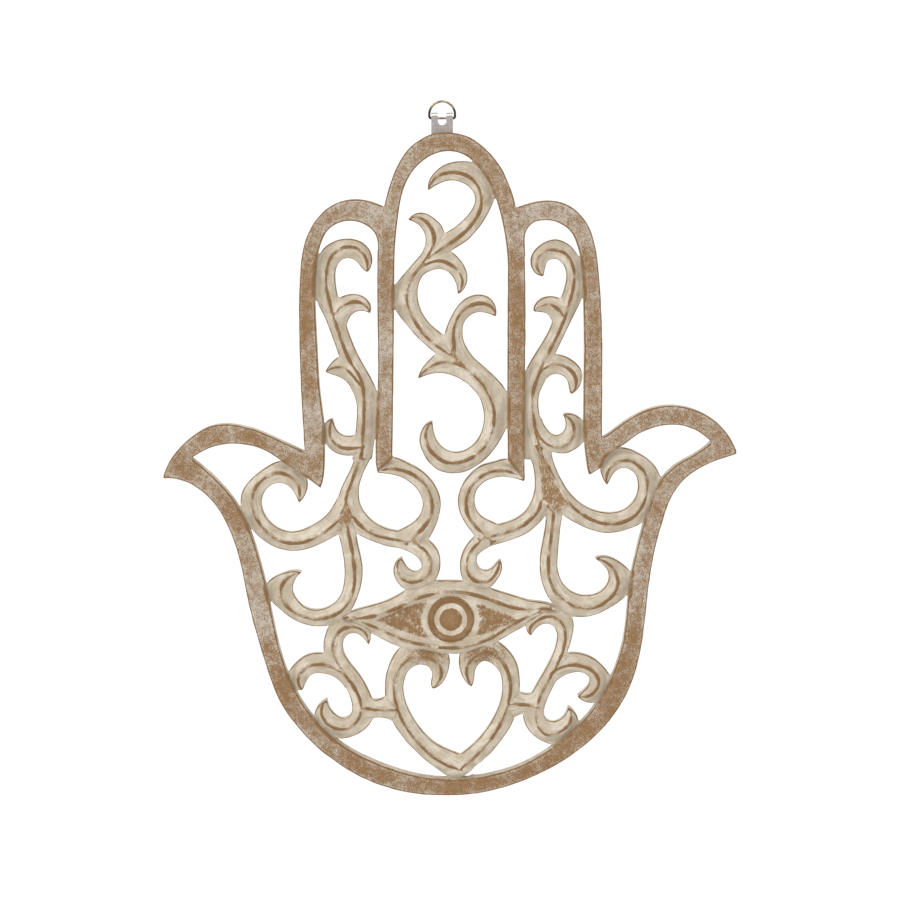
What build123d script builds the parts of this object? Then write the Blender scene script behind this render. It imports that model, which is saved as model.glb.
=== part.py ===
from build123d import *
import math
import os

# A hamsa hand ornament: one openwork wooden board, hand carved as a hand with two thumbs, an eye and a
# heart, hung by a wire ring in a folded steel strap on its back. Flat bands outline the hand. Between
# them run carved scrolls whose two flanks meet in a ridge.
# The frame has +Z up and the front of the board facing -Y. The origin is the hang point, the inside top
# of the ring, where a nail bears.

# The board
panel_width = 345.0
panel_height = 400.0
board_thickness = 12.0
ridge_drop = 0.4
flank_slope = 0.95
lowest_flank_foot = 5.5
facet_drop = 0.15
station_spacing = 5.0
fewest_stations = 6
sclera_height = 8.0
iris_ring_height = 11.2
iris_groove_height = 9.2
pupil_height = 11.4
iris_radius = 14.6
iris_crest_radius = 12.0
groove_outer_radius = 9.6
groove_inner_radius = 7.0

# The picture hanger
strap_width = 13.0
strap_thickness = 0.8
strap_length = 21.6
strap_notch_width = 5.0
strap_notch_depth = 7.4
strap_corner = 1.5
fold_slot = 1.7
fold_closing = 3.4
ring_wire = 1.4
ring_width = 16.8
ring_height = 11.4
ring_butt_gap = 0.3
ring_clearance = 0.075
ring_side_clearance = 0.06
bar_above_board = 8.5
screw_diameter = 3.0
screw_length = 10.0
screw_head_diameter = 5.6
screw_head_height = 1.7
screw_head_flat = 3.2
screw_point_length = 3.0
screw_hole_clearance = 0.05
strap_hole_clearance = 0.3
screw_above_strap_end = 4.0
overrun = 2.0

# The photograph's pixels that the board spans, and the pixel on its top edge where the hanger stands
board_pixels_wide = 572.4
board_pixels_high = 664.9
hanger_pixel = (442.2, 133.6)

ridge_height = board_thickness - ridge_drop
facet_height = ridge_height - facet_drop
wire_radius = ring_wire / 2
bar_height = wire_radius - (ring_height - ring_wire)
board_top = bar_height - bar_above_board
bar_standoff = strap_thickness + ring_clearance + wire_radius
board_plane = Plane(origin=(0, -bar_standoff, 0), x_dir=(1, 0, 0), z_dir=(0, -1, 0))


def spot(pixel):
    """A pixel of the photograph as a place on the board, across and up from the hang point."""
    across = (pixel[0] - hanger_pixel[0]) / board_pixels_wide * panel_width
    down = (pixel[1] - hanger_pixel[1]) / board_pixels_high * panel_height
    return across, board_top - down


def run(pixels, height):
    """One edge through the pixels at a height above the board's back: straight through two, else a curve."""
    points = [Vector(*spot(pixel), height) for pixel in pixels]
    if len(points) == 2:
        return Edge.make_line(*points)
    return Edge.make_spline(points)


def slab(runs, height):
    """A flat-topped piece of the board, sawn square: its outline is a chain of lines and curves."""
    outline = Wire([run(pixels, 0) for pixels in runs])
    return extrude(Face(outline), height, dir=(0, 0, 1))


def facet(pixels):
    """The flat the chisel leaves where ridges part, just below the ridges."""
    return slab([[a, b] for a, b in zip(pixels, pixels[1:] + pixels[:1])], facet_height)


def stations(curve, count):
    """Points at even shares of a curve's length."""
    return [curve @ (step / (count - 1)) for step in range(count)]


def rail(points, heights):
    """A curve through stations of a stroke, whose parameter is the share of its length."""
    count = len(points)
    lifted = [Vector(point.X, point.Y, height) for point, height in zip(points, heights)]
    return Edge.make_spline(lifted, parameters=[step / (count - 1) for step in range(count)])


def flank_feet(points, crest):
    """Heights of a flank's foot, which falls away from the ridge at one slope as it gets wider."""
    falls = [flank_slope * crest.distance_to(point) for point in points]
    return [max(lowest_flank_foot, ridge_height - fall) for fall in falls]


def stroke(near, ridge, far):
    """A carved scroll stroke: two square side walls, and two flanks that climb from them to the ridge.

    near, ridge and far run the same way. An end where all three meet is a pointed tip, and any other
    end is a butt that lies inside what the stroke grows out of.
    """
    middle = run(ridge, 0)
    count = max(fewest_stations, round(middle.length / station_spacing))
    spine = stations(middle, count)
    crest = rail(spine, [ridge_height] * count)
    faces, base = [], []
    for side in (near, far):
        points = stations(run(side, 0), count)
        heights = flank_feet(points, middle)
        foot, brow = rail(points, [0] * count), rail(points, heights)
        faces.append(Face.make_surface_from_curves(foot, brow))
        faces.append(Face.make_surface_from_curves(brow, crest))
        base.append(foot)
        for end in (0, -1):
            if near[end] == far[end]:
                continue
            low, inner = points[end], spine[end]
            tall = Vector(low.X, low.Y, heights[end])
            peak = Vector(inner.X, inner.Y, ridge_height)
            faces.append(Face(Wire.make_polygon([low, inner, peak, tall], close=True)))
            base.append(Edge.make_line(low, inner))
    faces.append(Face(Wire(base)))
    return Solid(Shell(faces))


def join(pieces):
    """The pieces fused to one solid."""
    whole = pieces[0]
    for piece in pieces[1:]:
        whole = whole + piece
    return whole


# The flat bands, each outlined by the chain of its edges


def middle_finger_band():
    arch = [
        (385, 207.2), (389, 190.2), (395.5, 172), (408, 151), (421, 140.2), (434, 134.6), (448, 133.6),
        (461, 135.4), (474, 141), (487.3, 151.8), (498.5, 165), (506.7, 181), (512.5, 196.5), (515, 208),
    ]
    right_bar = [(523.9, 252), (524.9, 330), (524.3, 400), (524.6, 480)]
    arch_inside = [
        (507.6, 267.5), (505.6, 243), (501.3, 219), (494, 195), (484.3, 175.9), (473.5, 162.6),
        (461.8, 154.5), (449.6, 151.9), (436.3, 154), (423, 161.6), (411.5, 174), (403.7, 190.2),
        (398.6, 215), (395.6, 244), (394.5, 276),
    ]
    left_bar = [(376.1, 462), (376.3, 425), (378.2, 385), (378.2, 320), (378.3, 252)]
    return slab(
        [
            arch, [arch[-1], right_bar[0]], right_bar, [right_bar[-1], (507.8, 458.6)],
            [(507.8, 458.6), (507.1, 360), arch_inside[0]], arch_inside,
            [arch_inside[-1], (393.8, 362), (392.4, 457.6)], [(392.4, 457.6), (380.5, 467.5)],
            [(380.5, 467.5), (377.7, 471.8)], [(377.7, 471.8), left_bar[0]], left_bar,
            [left_bar[-1], arch[0]],
        ],
        board_thickness,
    )


def index_finger_band():
    outside = [
        (385, 207.2), (370, 201.3), (353, 199.6), (337, 203.5), (323.5, 213), (312.5, 227.5),
        (305, 247), (301.5, 272.7), (300.3, 310.5), (301, 362.2), (303.2, 413.9), (305.6, 451.1),
    ]
    inside = [
        (321, 487.3), (323.9, 475), (325.1, 450), (324.6, 424.2), (321.3, 396.6), (318.2, 350),
        (316.2, 301.9), (317, 269.2), (321, 246), (330, 229), (341, 222.3), (352.3, 220.7),
        (366.1, 224.4), (375, 232), (378.6, 243), (378.5, 258),
    ]
    return slab(
        [
            outside, [outside[-1], (305, 475.3)], [(305, 475.3), (313.5, 481), inside[0]], inside,
            [inside[-1], (386, 258)], [(386, 258), (392, 215)], [(392, 215), outside[0]],
        ],
        board_thickness,
    )


def ring_finger_band():
    outside = [
        (515, 208), (531.7, 202.6), (548.9, 200.7), (564, 204), (577, 212.5), (586, 224), (592.3, 240),
        (597.1, 269.2), (600.5, 319.2), (601.4, 379.4), (601.2, 437),
    ]
    inside = [
        (588.4, 474.1), (584.2, 445), (583.2, 380), (583.3, 336.4), (582.5, 300.2), (580.7, 265.8),
        (576.4, 245.1), (569.5, 231.3), (557.5, 222.7), (543.7, 220.1), (531, 223.5), (525, 231.8),
        (523.9, 243), (524, 258),
    ]
    return slab(
        [
            outside, [outside[-1], (601, 466.1)], [(601, 466.1), inside[0]], inside,
            [inside[-1], (516, 258)], [(516, 258), (508, 216)], [(508, 216), outside[0]],
        ],
        board_thickness,
    )


def left_thumb_band():
    outside = [
        (163.6, 477.6), (167.6, 466), (178.7, 449), (194.5, 434.6), (209.7, 425.8), (224.6, 423),
        (241.8, 424.8), (259.1, 429.6), (276.3, 437.2), (293.5, 445.2), (305.6, 451.1),
    ]
    inside = [
        (305, 475.3), (293.5, 467.2), (281.5, 459.4), (271.7, 452.6), (258, 446.2), (241.8, 442.8),
        (224.6, 443.1), (207.4, 448.4), (192.2, 457.2),
    ]
    return slab(
        [
            outside, [outside[-1], (312, 455)], [(312, 455), (312, 477)], [(312, 477), inside[0]],
            inside, [inside[-1], outside[0]],
        ],
        board_thickness,
    )


def right_thumb_band():
    outside = [
        (601.2, 437), (609, 432), (621.7, 422.2), (638.9, 411.7), (656.1, 405.8), (673.3, 404.5),
        (690.5, 407.6), (707.8, 415.6), (721.5, 427.1), (730.7, 440), (736, 452.3),
    ]
    inside = [
        (710.1, 440.8), (699, 431.5), (684.8, 425.3), (667.6, 423.6), (650.4, 427.1), (634.5, 434.8),
        (621.7, 444.3), (608.5, 453), (601, 466.1),
    ]
    return slab(
        [
            outside, [outside[-1], inside[0]], inside, [inside[-1], (594, 466)],
            [(594, 466), (594, 440)], [(594, 440), outside[0]],
        ],
        board_thickness,
    )


def palm_band():
    outside = [
        (163.6, 477.6), (182.1, 479), (196, 485.5), (207.4, 494.3), (216.6, 504.8), (224.6, 517.8),
        (232.7, 536), (239.5, 558), (250, 610), (255.7, 632), (262.4, 655.5), (271.5, 684), (280, 704),
        (294.9, 726), (314.4, 747.4), (337.4, 765.8), (361, 780), (389.1, 791), (417.8, 797),
        (446, 798.5), (477, 796.4), (508.9, 788.8), (538, 777.3), (566.3, 761.5), (589.2, 744),
        (606.5, 726.5), (620, 708), (631.1, 686), (639.8, 656), (644.5, 626.1), (647.3, 597.4),
        (651, 568.7), (656.1, 542), (661.8, 521.2), (668.5, 501), (676.8, 486), (687.1, 475),
        (702, 465.2), (719.2, 458), (736, 452.3),
    ]
    inside = [
        (710.1, 440.8), (702, 448), (688.5, 456), (673.3, 465.5), (662, 477), (654, 491), (646.5, 512),
        (639.5, 537), (632.5, 567), (628.2, 599.3), (625.6, 628), (621.5, 650), (614.8, 671),
        (606, 690.5), (596.1, 707), (583.5, 722.5), (567, 738.5), (549, 752.5), (524, 766.9),
        (497.4, 776.3), (470, 781.4), (446, 782.2), (421, 779.6), (394.8, 772.7), (368, 762),
        (345, 749.4), (327, 735), (311, 717.5), (296, 694), (284.5, 667), (277.7, 643.3),
        (273, 621.3), (268.2, 596), (262.5, 570.5), (255.7, 546), (249.5, 528), (241.5, 510.5),
        (230.4, 493.5), (218.9, 480.4), (206.5, 468.6), (192.2, 457.2),
    ]
    return slab(
        [outside, [outside[-1], inside[0]], inside, [inside[-1], outside[0]]], board_thickness
    )


# The eye, with its two lids, the hollowed white and the turned rings of the iris


def eye():
    left_corner, right_corner = (342, 619.3), (556, 609.5)
    upper_lid = stroke(
        [
            left_corner, (353, 612), (375, 605.5), (394, 598), (412, 588), (430, 582.5), (450, 581.3),
            (470, 583), (489.2, 588.8), (513.7, 596.6), (535, 602), (548, 604), right_corner,
        ],
        [
            left_corner, (360, 618.8), (375, 616), (391.2, 610.6), (408, 602.5), (424, 596.3),
            (438, 592.8), (452.5, 591.6), (468, 593.4), (488, 599), (507, 605.8), (522, 608.8),
            (538, 609), right_corner,
        ],
        [
            left_corner, (366, 621.8), (384, 619), (400, 611.5), (415, 604.8), (430, 600), (452, 597.4),
            (473, 600), (490, 605.5), (508, 613), (524, 614.5), (541, 612.8), right_corner,
        ],
    )
    lower_start, lower_end = (352, 617), (541, 611)
    lower_lid = stroke(
        [
            lower_start, (368, 617), (383, 621), (398, 629.5), (414, 636.6), (430, 641.2),
            (450, 643.2), (472, 638.5), (490, 630.5), (508, 619), (524, 610.5), lower_end,
        ],
        [
            lower_start, (367, 624.2), (381, 630.2), (398, 638.2), (414, 643.4), (428, 646),
            (444, 648), (461, 647.8), (480, 643.3), (497, 634.8), (513.7, 624.2), (528, 616.6),
            lower_end,
        ],
        [
            lower_start, (356, 627), (370, 634.5), (384, 641.5), (400, 649.2), (424, 653.5),
            (444, 655), (461, 655), (478, 651.5), (496, 643.3), (513, 634), (528, 625), (537, 618),
            lower_end,
        ],
    )
    white = slab(
        [
            [
                (372, 620.5), (384, 616.5), (400, 609), (415, 602), (430, 597), (452, 594.5),
                (473, 597), (490, 602.5), (508, 609.5), (522, 613),
            ],
            [
                (522, 613), (512, 623), (495, 633), (474, 642), (450, 646.5), (430, 644.5),
                (412, 640), (396, 633), (372, 620.5),
            ],
        ],
        sclera_height,
    )
    bulge = pupil_height - iris_groove_height
    dome_radius = (groove_inner_radius**2 + bulge**2) / (2 * bulge)
    half_way = math.asin(groove_inner_radius / dome_radius) / 2
    shoulder = (
        dome_radius * math.sin(half_way),
        pupil_height - dome_radius * (1 - math.cos(half_way)),
    )
    ring = Polyline(
        (0, pupil_height), (0, 0), (iris_radius, 0), (iris_radius, sclera_height),
        (iris_crest_radius, iris_ring_height), (groove_outer_radius, iris_groove_height),
        (groove_inner_radius, iris_groove_height),
    )
    dome = ThreePointArc((groove_inner_radius, iris_groove_height), shoulder, (0, pupil_height))
    profile = make_face([*ring.edges(), dome])
    turned = revolve(Plane.XZ * profile, Axis.Z)
    middle = spot((450.9, 619.8))
    return join([upper_lid, lower_lid, white, Pos(*middle, 0) * turned])


# The heart, two hooked strokes that cross at its point


def heart():
    left_tip, right_tip = (432.7, 690), (471.6, 687.7)
    left_half = stroke(
        [
            (460, 789), (437.3, 773.5), (423.5, 762.3), (406.3, 745.1), (394.5, 729), (387.3, 713),
            (384.8, 697), (385.6, 677.4), (390.2, 663.6), (400, 649.8), (412, 645), (425, 643.5),
            (438, 646.5), (446.5, 653), (449.8, 664), (446.5, 677.4), (439.5, 687), left_tip,
        ],
        [
            (474, 780), (460.7, 773.3), (440.7, 764.6), (423.5, 750.9), (409.7, 734.8), (400.5, 719.5),
            (395.3, 704), (393.4, 688.9), (396.4, 674.5), (405, 662.5), (418.9, 657), (432.7, 660.5),
            (440.6, 669.4), (440.2, 679.7), left_tip,
        ],
        [
            (480, 769), (458.9, 758), (435, 746.5), (420, 731.5), (409.2, 714.1), (403.8, 698.1),
            (404.2, 682), (409.7, 671.5), (419.5, 666.6), (428.1, 669), (432.3, 677.4), (430.8, 686),
            left_tip,
        ],
    )
    right_half = stroke(
        [
            (458, 788), (471, 774), (489.4, 758.5), (502, 743.5), (511.2, 729.5), (517.3, 713),
            (519.8, 694.6), (519.8, 677.4), (516.5, 664), (508.9, 652.5), (497.5, 643.3), (484, 640),
            (470.5, 643.5), (461.3, 652), (459.2, 667), (463.5, 680), right_tip,
        ],
        [
            (449, 781), (460.7, 772), (472.1, 762), (485.9, 747.4), (497.4, 731.5), (505.4, 714.6),
            (510, 699), (510.8, 684.3), (506.6, 669.4), (497.4, 658), (485.9, 652.6), (474.6, 657.9),
            (467.8, 667.1), (467, 677.4), right_tip,
        ],
        [
            (444, 770), (463, 756.6), (480.2, 740.7), (492.8, 722.3), (500.3, 705), (502.6, 688.9),
            (500, 674.5), (491.7, 665.4), (482.8, 663.3), (475.6, 671.7), (474, 682.5), right_tip,
        ],
    )
    return join([left_half, right_half])


# The scrolls in the fingers


def index_scroll():
    top_tip = (368.2, 271.5)
    stem = stroke(
        [
            (371.5, 459), (374, 444), (376.5, 425), (378.5, 405), (375.5, 387), (366.1, 368.5),
            (354.5, 346), (347.3, 326), (341.5, 308), (337.5, 291), (336, 276.1), (338.5, 264.5),
            (344.5, 258.8), (351, 258.2), (357.5, 261.5), (362.3, 267), top_tip,
        ],
        [
            (361.2, 459), (362.5, 447), (363.5, 432), (364.4, 412.1), (364.2, 393.2), (360.5, 377),
            (351.5, 362.2), (343.9, 345), (337.2, 324), (331.7, 304.5), (327.6, 287), (327.8, 271),
            (331.7, 257.5), (340.3, 249.2), (351, 246.3), (360.5, 249.8), (366.6, 258), top_tip,
        ],
        [
            (352.5, 459), (354.5, 444), (356, 429), (357.3, 413), (356, 399), (350.6, 386.3),
            (345, 372), (340, 356.2), (333.5, 338), (326, 318), (318.3, 302), (314.2, 285),
            (315.5, 267), (321, 253), (329.5, 244.2), (340, 239.6), (352, 238.9), (364.4, 243.4),
            (372, 254.5), (372, 265), top_tip,
        ],
    )
    middle_tip = (370.6, 312.5)
    middle_hook = stroke(
        [
            (329, 306), (340.3, 297.3), (353, 293.6), (364, 296.3), (371, 304.5), middle_tip,
        ],
        [
            (334, 317), (338.5, 309.5), (345.4, 304.3), (354, 301.3), (362.7, 302.4), (368.2, 307),
            middle_tip,
        ],
        [
            (343, 331), (347.5, 323), (350.8, 316), (357, 311), (364.5, 310.3), middle_tip,
        ],
    )
    leaf_tip = (326, 370.5)
    leaf = stroke(
        [
            (361, 372), (352.5, 360.5), (345.5, 355.3), (338.5, 357), (331.5, 362.5), leaf_tip,
        ],
        [
            (362.5, 385), (354, 374.5), (347.5, 368.5), (340.5, 366), (332.5, 367.2), leaf_tip,
        ],
        [
            (357, 400), (351.5, 387.5), (346, 380.5), (340, 376.5), (333, 374), leaf_tip,
        ],
    )
    foot_tip = (333, 417.5)
    foot_hook = stroke(
        [
            (367, 456), (356.5, 454.9), (345.4, 455), (333.5, 450.8), (325.5, 442), (323.2, 431),
            (326, 422), foot_tip,
        ],
        [
            (364.5, 445.5), (352.3, 447.3), (341.5, 446), (333.6, 440), (330.2, 431.5),
            (330.9, 424), foot_tip,
        ],
        [
            (363, 431), (355.3, 434.6), (347.2, 435.6), (339.5, 432.6), (335.3, 426), foot_tip,
        ],
    )
    return join([stem, middle_hook, leaf, foot_hook])


def ring_scroll():
    top_tip = (542.3, 275.5)
    stem = stroke(
        [
            (525, 459), (524.5, 447), (522.5, 430), (521, 410), (521.5, 390), (525.5, 371),
            (532, 358), (540, 345), (547.5, 332), (553.3, 317), (559.6, 299.4), (564.5, 284),
            (565.3, 271.5), (561.5, 263), (554, 258.4), (547.5, 260.5), (544.6, 267), top_tip,
        ],
        [
            (541.3, 459), (539.8, 447), (536, 432.5), (532.9, 415), (532, 397.5), (535, 381.6),
            (540.5, 367.4), (547.5, 352.5), (555.3, 337), (562.3, 320.9), (568, 303.7),
            (572.1, 287.5), (573.2, 272.7), (570.2, 260.6), (562.7, 252.4), (552.3, 249.6),
            (542.3, 251.8), (536.4, 259), (536.6, 268.5), top_tip,
        ],
        [
            (551, 459), (548.6, 449), (544.5, 434.5), (539.9, 417), (537.9, 403), (540.5, 389),
            (547.2, 376), (550.8, 363.5), (556.5, 349.5), (565, 331.5), (573.5, 314), (581, 298.5),
            (585, 283), (583, 266.5), (576.3, 253.7), (566.5, 243.5), (554, 239.3), (541.5, 243.6),
            (531.8, 253.5), (530.5, 266), top_tip,
        ],
    )
    middle_tip = (533, 310.8)
    middle_hook = stroke(
        [
            (570, 304), (559.2, 298), (548.9, 295.8), (539.5, 298.8), (534, 304.8), middle_tip,
        ],
        [
            (564.5, 318), (557, 308.2), (548.5, 303.9), (539.6, 305.4), middle_tip,
        ],
        [
            (556, 333), (551.8, 321.5), (547, 313.8), (540.5, 311.4), middle_tip,
        ],
    )
    leaf_tip = (570.2, 393)
    leaf = stroke(
        [
            (541, 362), (547.5, 355.8), (554, 354), (563, 355.1), (573.5, 360.8), (581.3, 371),
            (579.5, 384.5), leaf_tip,
        ],
        [
            (536.5, 376), (542.5, 368), (549.5, 364.2), (559.2, 363.9), (568.8, 368.4), (574.8, 376.8),
            (575, 386), leaf_tip,
        ],
        [
            (538, 391), (546, 378.5), (554, 373.6), (562, 375), (567.2, 380.6), (568.6, 387.5), leaf_tip,
        ],
    )
    foot_tip = (562.3, 413.3)
    foot_hook = stroke(
        [
            (541, 456), (548.9, 451), (559.2, 452.9), (571.5, 450.5), (581.5, 443.5), (585.5, 431),
            (581.2, 419), (571.3, 413), foot_tip,
        ],
        [
            (535, 427), (539.5, 437), (546, 443.5), (555.8, 446.4), (565.7, 443.6), (571.9, 435.8),
            (572.8, 426), (569.3, 418.2), foot_tip,
        ],
        [
            (541.5, 417), (547.5, 429.5), (556.5, 434.9), (563.3, 431), (565.3, 421.8), foot_tip,
        ],
    )
    return join([stem, middle_hook, leaf, foot_hook])


def middle_scroll():
    leaf_tip, foot_tip = (408.5, 220), (432.4, 420)
    stem = stroke(
        [
            leaf_tip, (415.5, 222.5), (422, 228), (425.8, 238), (423.8, 249.4), (414.9, 261.4),
            (404.5, 273.5), (395.5, 285), (391, 296), (396, 310), (405.7, 322.9), (416.5, 335.5),
            (427, 345.3), (437, 354), (447, 364.5), (455.5, 373), (464.5, 381), (474.6, 390.4),
            (481.2, 401.6), (483.8, 415), (482.2, 428.5), (476.1, 440.8), (467, 448.6), (456.7, 451.6),
            (446, 449.2), (437.8, 441.4), (433.8, 431), foot_tip,
        ],
        [
            leaf_tip, (415.5, 216.8), (424, 219.8), (431, 227.5), (434.4, 238.5), (431.5, 250),
            (425, 260.2), (417, 270.3), (410.9, 280.6), (407.7, 291.4), (407.6, 302.6),
            (411.8, 314.4), (419, 326.5), (427.6, 337), (437.5, 345.5), (448.5, 353.2),
            (458.5, 361.8), (468, 369.4), (478, 378.4), (487, 391), (492.8, 405), (493.9, 420),
            (490.2, 435.6), (482.4, 448), (472, 456.4), (460, 461.2), (448.2, 461.6), (437.5, 456.4),
            (429.6, 447.4), (426, 437), (426.8, 428), foot_tip,
        ],
        [
            leaf_tip, (415.5, 213.8), (424, 213), (433.5, 217.8), (441.2, 225), (444.6, 237),
            (440.6, 252), (431.4, 264.5), (422.8, 275.2), (418.2, 287), (418.4, 300.4),
            (423.1, 313.7), (431.2, 324.4), (441.4, 333), (453.5, 342.5), (467.5, 352.6),
            (482.2, 364.7), (494.5, 375.9), (503.5, 386.5), (509.6, 401), (509.6, 417),
            (504.8, 430.5), (497.6, 443.5), (489.4, 454.8), (478.5, 464.2), (467.5, 470.6),
            (454.7, 473.2), (441.8, 471.4), (431.2, 464.4), (423.9, 454.2), (419.9, 442.4),
            (421.4, 430), foot_tip,
        ],
    )
    top_tip = (428.4, 191)
    top_hook = stroke(
        [
            (438, 268), (445, 255), (454.5, 248.4), (464.9, 241.8), (475.5, 231.5), (485.5, 217.5),
            (493.5, 201), (496, 187), (488.5, 172.5), (477, 164.5), (466, 162), (456.3, 162.2),
            (446, 164.8), (436, 171.5), (429.4, 181), top_tip,
        ],
        [
            (428, 259), (435.3, 252.6), (445.5, 245.8), (455.9, 239), (466.3, 230.2), (475.8, 218.6),
            (480.6, 205.4), (480.3, 193.6), (476, 184.2), (467.9, 177), (457.6, 173.5),
            (446, 173.7), (436.5, 177.6), (430.6, 184.6), top_tip,
        ],
        [
            (423, 249), (433.5, 240.6), (446, 232.8), (459, 223.8), (469, 213.4), (474.9, 200.6),
            (472.3, 191), (464.3, 184.2), (453.9, 180.9), (443.5, 182.3), (434.5, 186.6), top_tip,
        ],
    )
    side_tip = (457.6, 293.5)
    side_leaf = stroke(
        [
            (419, 257), (430, 252), (442, 250), (451.6, 251.8), (459.4, 258.8), (465.4, 268),
            (467.4, 277.5), (464.6, 287), side_tip,
        ],
        [
            (414, 275), (420, 267.6), (427.6, 262.6), (436, 260.2), (445.6, 261.8), (455.3, 267.8),
            (461.3, 276), (462, 285), side_tip,
        ],
        [
            (415, 288), (421.5, 276.4), (429.6, 270.8), (439, 268.8), (448.2, 271.8), (454.3, 278.8),
            (456.8, 286.4), side_tip,
        ],
    )
    upper_tip = (495.2, 315.5)
    upper_leaf = stroke(
        [
            (447, 362), (443, 347), (445, 332), (450.4, 317.8), (457.6, 305.5), (467, 297.2),
            (478.2, 294.2), (488.6, 297), (495, 305), upper_tip,
        ],
        [
            (464, 366), (457.4, 355), (453.7, 343), (453.5, 331), (456.2, 319.6), (462.4, 310.4),
            (471.6, 304.4), (481, 302.6), (489.6, 304.8), (494, 309.2), upper_tip,
        ],
        [
            (480, 365), (470.4, 353), (463.9, 341), (462.5, 330), (464.3, 321.6), (469.3, 315.4),
            (477.6, 311.8), (487, 312.6), upper_tip,
        ],
    )
    lower_tip = (418.2, 377.6)
    lower_leaf = stroke(
        [
            (456, 352), (446, 350.6), (436.3, 353.6), (426.8, 361.8), (420.4, 370.6), lower_tip,
        ],
        [
            (461, 364.6), (452.5, 361.5), (443, 361), (432, 364.7), (424, 370), lower_tip,
        ],
        [
            (464, 381), (452, 374.8), (440, 372.4), (428, 373.8), lower_tip,
        ],
    )
    fork = facet([(449, 352.6), (453.2, 344.5), (457, 354.5), (462, 362.8), (457, 362.6)])
    return join([stem, top_hook, side_leaf, upper_leaf, lower_leaf, fork])


# The scrolls in the palm


def left_palm_scroll():
    foot_tip = (401.6, 557.5)
    stem = stroke(
        [
            (373.5, 444), (372.9, 452), (366.2, 466.8), (360.2, 482), (358.6, 495.1), (361.4, 507),
            (369.4, 518.2), (380.4, 526), (393, 530.2), (407, 532.4), (420, 536), (430, 541.6),
            (437, 549.5), (440.4, 561), (438.6, 574.5), (431.5, 585.5), (420.5, 591.8),
            (408.5, 592), (398.6, 584.4), (393.6, 573), (395, 563.5), foot_tip,
        ],
        [
            (362.6, 444), (361.2, 452), (355.8, 469.8), (349.8, 486.5), (346.3, 497.1),
            (347.6, 507), (352.8, 516), (361.2, 525.6), (375.4, 534.6), (391, 538.6), (407, 540.6),
            (419.8, 545.1), (428.4, 552.6), (431.6, 562.4), (429.8, 572.4), (421.8, 579.6),
            (411.8, 582.1), (403.5, 579.4), (398.2, 572.4), (397.2, 564.5), foot_tip,
        ],
        [
            (354.8, 444), (354, 459.6), (346.6, 477), (339.5, 493), (338, 508), (345, 524),
            (357, 534), (371, 540.6), (386, 545.8), (402, 549.2), (415.4, 554), (423, 564.5),
            (418.4, 571.4), (411, 570.9), (404.6, 564), foot_tip,
        ],
    )
    arch_tip = (377.9, 471.6)
    arch = stroke(
        [
            (422, 550), (431.5, 534.5), (438.6, 517.5), (440.6, 501.2), (436.1, 487), (428, 475.9),
            (416.7, 467), (404, 460.6), (391.7, 457), (383, 462.6), arch_tip,
        ],
        [
            (405.5, 544), (414.7, 535.6), (424, 526.2), (430.8, 514.5), (432, 502.6), (429, 489.8),
            (421.4, 479.8), (410, 472), (397, 468.3), (386, 468), arch_tip,
        ],
        [
            (391, 535), (405.5, 527.4), (416.4, 519.6), (422.2, 508.8), (421.6, 497.1),
            (415.4, 487), (405, 478.8), (391.5, 473.8), (384.3, 472.6), arch_tip,
        ],
    )
    fork = facet([(346.4, 498.5), (353, 516), (347.6, 527.5), (337.5, 520.5)])
    neck = facet([(414.7, 535.4), (420.5, 540), (419.8, 545), (408, 540.6)])
    return join([stem, arch, fork, neck])


def right_palm_scroll():
    foot_tip = (500, 559.5)
    stem = stroke(
        [
            (526.4, 444), (526.6, 451.5), (530.9, 459.5), (534, 471.5), (534.9, 484), (533.3, 495.1),
            (529, 505.6), (521.6, 514.6), (511.6, 520.4), (500, 524), (487, 528.4), (475.6, 535.6),
            (466.5, 545.4), (460.8, 558.6), (460.4, 571.6), (464.6, 583), (473, 590), (482.5, 591.4),
            (491.6, 586.6), (499.4, 576), (502.2, 566), foot_tip,
        ],
        [
            (536.5, 444), (538.5, 452), (540.7, 468), (542.2, 484), (541.9, 497.1), (538.2, 508.8),
            (530, 519.4), (518.8, 527.4), (505, 532.4), (491.2, 535.8), (479.6, 541), (470.8, 550),
            (466.6, 561.4), (467.6, 571.8), (473.6, 579.6), (482.6, 582), (491, 579.2),
            (496.8, 571.4), foot_tip,
        ],
        [
            (549.5, 444), (550.5, 462), (551.5, 480), (551.8, 497), (547.4, 512), (538, 524.4),
            (527.5, 533), (515, 538.8), (501.4, 543.2), (487.6, 547.4), (478.9, 553),
            (476.8, 561.4), (480.8, 569.6), (487.3, 570.8), (494, 566), foot_tip,
        ],
    )
    arch_tip = (524.4, 480)
    arch = stroke(
        [
            (484, 550), (475.4, 537), (468.6, 527.8), (461.8, 517), (458.2, 505.3), (459, 493.1),
            (464.6, 480.8), (473.6, 470.6), (484.6, 463.9), (495.3, 461), (507.6, 459),
            (517, 466), arch_tip,
        ],
        [
            (493.5, 543), (485.1, 534.8), (475.9, 526.4), (468.9, 516.8), (466.3, 506.4),
            (467, 495.8), (471.4, 485.4), (479.4, 476.9), (489.6, 471.2), (501.4, 470), (513.6, 472.2),
            arch_tip,
        ],
        [
            (505, 533), (492, 521.9), (483, 517.4), (476.8, 510.2), (474.6, 501.2), (476, 491.2),
            (481.6, 483.4), (490.8, 478.2), (501.4, 476.2), (513.6, 477.6), arch_tip,
        ],
    )
    fork = facet(
        [
            (540.8, 456), (549.4, 465.2), (558, 483.2), (564.4, 494.2), (571, 503),
            (561.5, 508.5), (553.5, 512.5), (546.5, 506), (542, 497.1), (542, 478),
        ]
    )
    neck = facet([(485.1, 534.4), (491.6, 536), (479.6, 541.2), (477, 537.5)])
    return join([stem, arch, fork, neck])


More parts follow.
